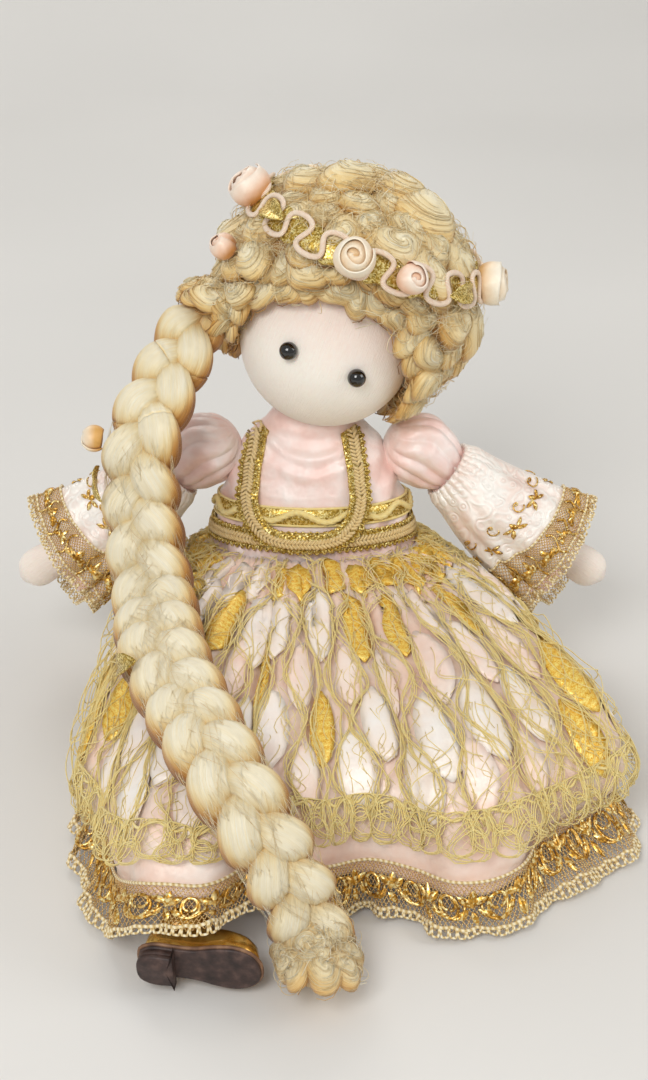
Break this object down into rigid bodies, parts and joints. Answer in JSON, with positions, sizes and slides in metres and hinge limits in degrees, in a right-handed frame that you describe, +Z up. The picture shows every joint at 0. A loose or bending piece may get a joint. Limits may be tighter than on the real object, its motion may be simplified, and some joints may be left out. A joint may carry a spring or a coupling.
{
  "type": "rag doll",
  "caption": "Seated cloth doll with a round knitted head, bead eyes, a curly wig with a long plait, a ribbon circlet, a satin dress with lace skirt and bell sleeves, and cloth legs in shoes.",
  "frame": {"origin": "the middle of the flat seat under the stuffed body, where the body sits on the floor", "axes": "+Z up, -Y out of the doll's chest along its legs, +X to the doll's left; the body leans back over +Y"},
  "size_m": [0.2104, 0.2266, 0.1861],
  "materials": {
    "knit": "fine matt cotton knit",
    "bead": "polished black bead",
    "curls": "silky blond yarn",
    "gilt_gimp": "metallic braid with a satin cord",
    "cream_trim": "matt cream cord and lace",
    "pink_satin": "glossy satin",
    "pearl_cloth": "soft pearly cloth",
    "gold_lace": "open lace with gold thread",
    "bronze_net": "net with metallic thread",
    "gold_vinyl": "glossy gold",
    "sole_leather": "smooth, lightly worn",
    "peach_ribbon": "satin ribbon",
    "cream_ribbon": "satin ribbon",
    "olive_ribbon": "metallic ribbon"
  },
  "bodies": {
    "torso": {"torso": "knit", "bodice": "pink_satin", "waist_trim": "gilt_gimp", "wave_trim": "cream_trim", "bodice_u_trim": "gilt_gimp", "skirt": "pink_satin", "skirt_overlay": "gold_lace", "overlay_edging": "cream_trim", "hem_flounce": "bronze_net", "plait": "curls", "plait_top": "curls", "plait_tuft": "curls", "plait_bud": "cream_ribbon", "plait_leaf_upper": "olive_ribbon", "plait_leaf_lower": "olive_ribbon"},
    "neck": {"neck": "knit"},
    "head": {"head": "knit", "eye_left": "bead", "eye_right": "bead", "wig": "curls", "circlet_band": "gilt_gimp", "rose_right_temple": "peach_ribbon", "rose_brow": "cream_ribbon", "rose_bud_brow": "peach_ribbon", "rose_left_temple": "peach_ribbon", "rose_back_left": "peach_ribbon", "rose_back_right": "cream_ribbon", "rose_plait_root": "peach_ribbon", "leaf_right_temple": "olive_ribbon", "leaf_left_temple": "olive_ribbon"},
    "arm_left": {"arm_left": "knit", "puff_sleeve_left": "pink_satin", "bell_sleeve_left": "pearl_cloth", "sleeve_lace_left": "bronze_net"},
    "arm_right": {"arm_right": "knit", "puff_sleeve_right": "pink_satin", "bell_sleeve_right": "pearl_cloth", "sleeve_lace_right": "bronze_net"},
    "leg_left": {"leg_left": "knit", "shoe_upper_left": "gold_vinyl", "shoe_sole_left": "sole_leather", "shoe_heel_left": "sole_leather"},
    "leg_right": {"leg_right": "knit", "shoe_upper_right": "gold_vinyl", "shoe_sole_right": "sole_leather", "shoe_heel_right": "sole_leather"}
  },
  "joints": [
    {"name": "head_turn", "type": "hinge", "parent": "torso", "child": "neck", "pos_m": [-0.003, 0.02083, 0.103], "axis": [0, 0, 1], "range_deg": [-25, 25], "deforming": ["plait_top"]},
    {"name": "head_tilt", "type": "hinge", "parent": "neck", "child": "head", "pos_m": [-0.003, 0.02083, 0.103], "axis": [0, 1, 0], "range_deg": [-24, 2], "deforming": ["plait_top"]},
    {"name": "arm_left_raise", "type": "hinge", "parent": "torso", "child": "arm_left", "pos_m": [0.036, 0.01828, 0.086], "axis": [0, -1, 0], "range_deg": [0, 50]},
    {"name": "arm_right_raise", "type": "hinge", "parent": "torso", "child": "arm_right", "pos_m": [-0.036, 0.01828, 0.086], "axis": [0, 1, 0], "range_deg": [0, 50]},
    {"name": "leg_left_swing", "type": "hinge", "parent": "torso", "child": "leg_left", "pos_m": [0.017, -0.014, 0.0112], "axis": [1, 0, 0], "range_deg": [0, 90]},
    {"name": "leg_right_swing", "type": "hinge", "parent": "torso", "child": "leg_right", "pos_m": [-0.017, -0.014, 0.0112], "axis": [1, 0, 0], "range_deg": [0, 90]}
  ]
}
